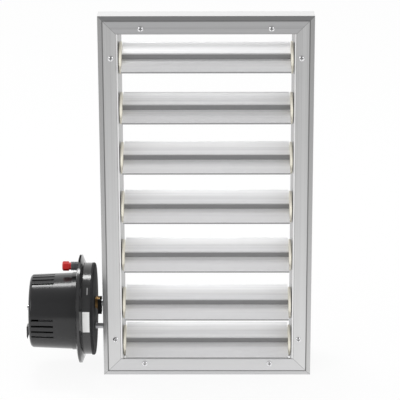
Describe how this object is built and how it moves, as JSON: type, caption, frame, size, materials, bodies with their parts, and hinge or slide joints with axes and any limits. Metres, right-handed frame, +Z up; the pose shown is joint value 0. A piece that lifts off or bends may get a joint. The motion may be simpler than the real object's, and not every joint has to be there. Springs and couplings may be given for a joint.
{
  "type": "volume control damper",
  "caption": "Rectangular aluminium volume control damper: mitred frame, parallel hollow S-section blades on a link bar, round geared actuator at the side.",
  "frame": {"origin": "middle of the underside of the bottom frame member", "axes": "+X to the right seen from the front, +Y from the front face to the rear, +Z up"},
  "size_m": [0.4146, 0.169, 0.536],
  "materials": {
    "frame_alu": "satin anodised extrusion",
    "blade_alu": "bright satin extrusion",
    "jamb_alu": "mill finish sheet",
    "screw_chrome": "bright",
    "zinc_steel": "zinc plated",
    "cream_nylon": "satin moulded",
    "white_nylon": "satin moulded",
    "dark_shell": "semi gloss moulded",
    "dark_base": "dark grey enamel",
    "plate_white": "plain, blank",
    "plug_red": "gloss moulded",
    "gland_grey": "moulded",
    "brass": "turned",
    "black_clamp": "black oxide",
    "gear_steel": "hobbed",
    "board_green": "coated laminate"
  },
  "bodies": {
    "frame": {"frame_top": "frame_alu", "frame_bottom": "frame_alu", "frame_left": "frame_alu", "frame_right": "frame_alu", "corner_keys": "zinc_steel", "frame_screws": "screw_chrome", "jamb_left": "jamb_alu", "jamb_right": "jamb_alu", "rear_ties": "jamb_alu", "jamb_screws": "zinc_steel", "bushes": "white_nylon", "stop_strips": "jamb_alu", "act_base_plate": "dark_base", "act_housing": "dark_base", "act_flange_disc": "dark_base", "act_cover": "dark_shell", "act_gear_plate": "zinc_steel", "act_cover_screws": "screw_chrome", "act_gland": "gland_grey", "gland_plug": "plug_red", "nameplate": "plate_white", "latch_clip": "screw_chrome", "act_motor": "zinc_steel", "lock_rod": "zinc_steel", "circuit_board": "board_green"},
    "blade_body_1": {"blade_1": "blade_alu", "end_discs_1": "cream_nylon", "axles_1": "zinc_steel", "crank_1": "zinc_steel"},
    "blade_body_2": {"blade_2": "blade_alu", "end_discs_2": "cream_nylon", "axles_2": "zinc_steel", "crank_2": "zinc_steel"},
    "blade_body_3": {"blade_3": "blade_alu", "end_discs_3": "cream_nylon", "axles_3": "zinc_steel", "crank_3": "zinc_steel"},
    "blade_body_4": {"blade_4": "blade_alu", "end_discs_4": "cream_nylon", "axles_4": "zinc_steel", "crank_4": "zinc_steel"},
    "blade_body_5": {"blade_5": "blade_alu", "end_discs_5": "cream_nylon", "axles_5": "zinc_steel", "crank_5": "zinc_steel"},
    "blade_body_6": {"blade_6": "blade_alu", "end_discs_6": "cream_nylon", "axles_6": "zinc_steel", "crank_6": "zinc_steel", "drive_sleeve": "brass", "output_gear": "gear_steel", "shaft_clamp": "black_clamp"},
    "blade_body_7": {"blade_7": "blade_alu", "end_discs_7": "cream_nylon", "axles_7": "zinc_steel", "crank_7": "zinc_steel"},
    "link": {"link_bar": "zinc_steel"},
    "compound": {"gear_compound": "gear_steel"},
    "rotor": {"motor_rotor": "gear_steel"},
    "button": {"release_button": "dark_shell"}
  },
  "joints": [
    {"name": "blade_1_tilt", "type": "hinge", "parent": "frame", "child": "blade_body_1", "pos_m": [0, 0.0085, 0.4716], "axis": [-1, 0, 0], "range_deg": [0, 103]},
    {"name": "blade_2_tilt", "type": "hinge", "parent": "frame", "child": "blade_body_2", "pos_m": [0, 0.0085, 0.3981], "axis": [-1, 0, 0], "range_deg": [0, 103]},
    {"name": "blade_3_tilt", "type": "hinge", "parent": "frame", "child": "blade_body_3", "pos_m": [0, 0.0085, 0.3246], "axis": [-1, 0, 0], "range_deg": [0, 103]},
    {"name": "blade_4_tilt", "type": "hinge", "parent": "frame", "child": "blade_body_4", "pos_m": [0, 0.0085, 0.2511], "axis": [-1, 0, 0], "range_deg": [0, 103]},
    {"name": "blade_5_tilt", "type": "hinge", "parent": "frame", "child": "blade_body_5", "pos_m": [0, 0.0085, 0.1776], "axis": [-1, 0, 0], "range_deg": [0, 103]},
    {"name": "blade_6_tilt", "type": "hinge", "parent": "frame", "child": "blade_body_6", "pos_m": [0, 0.0085, 0.1041], "axis": [-1, 0, 0], "range_deg": [0, 103]},
    {"name": "blade_7_tilt", "type": "hinge", "parent": "frame", "child": "blade_body_7", "pos_m": [0, 0.0085, 0.0448], "axis": [-1, 0, 0], "range_deg": [0, 103]},
    {"name": "link_swing", "type": "hinge", "parent": "blade_body_6", "child": "link", "pos_m": [0.143, 0.01712, 0.11513], "axis": [-1, 0, 0], "range_deg": [-103, 0]},
    {"name": "compound_spin", "type": "hinge", "parent": "frame", "child": "compound", "pos_m": [-0.178, 0.02189, 0.06731], "axis": [-1, 0, 0], "range_deg": [-343.34, 0]},
    {"name": "rotor_spin", "type": "hinge", "parent": "frame", "child": "rotor", "pos_m": [-0.2, 0.01109, 0.08665], "axis": [-1, 0, 0], "range_deg": [0, 915.57]},
    {"name": "release_push", "type": "slide", "parent": "frame", "child": "button", "axis": [1, 0, 0], "range_m": [0, 0.0025], "stiffness_N_per_m": 300, "springref_m": -0.002}
  ],
  "couplings": [
    {"joint": "blade_1_tilt", "follows": "blade_6_tilt", "ratio": 1},
    {"joint": "blade_2_tilt", "follows": "blade_6_tilt", "ratio": 1},
    {"joint": "blade_3_tilt", "follows": "blade_6_tilt", "ratio": 1},
    {"joint": "blade_4_tilt", "follows": "blade_6_tilt", "ratio": 1},
    {"joint": "blade_5_tilt", "follows": "blade_6_tilt", "ratio": 1},
    {"joint": "blade_7_tilt", "follows": "blade_6_tilt", "ratio": 1},
    {"joint": "link_swing", "follows": "blade_6_tilt", "ratio": -1},
    {"joint": "compound_spin", "follows": "blade_6_tilt", "ratio": -3.3333},
    {"joint": "rotor_spin", "follows": "blade_6_tilt", "ratio": 8.8889}
  ]
}
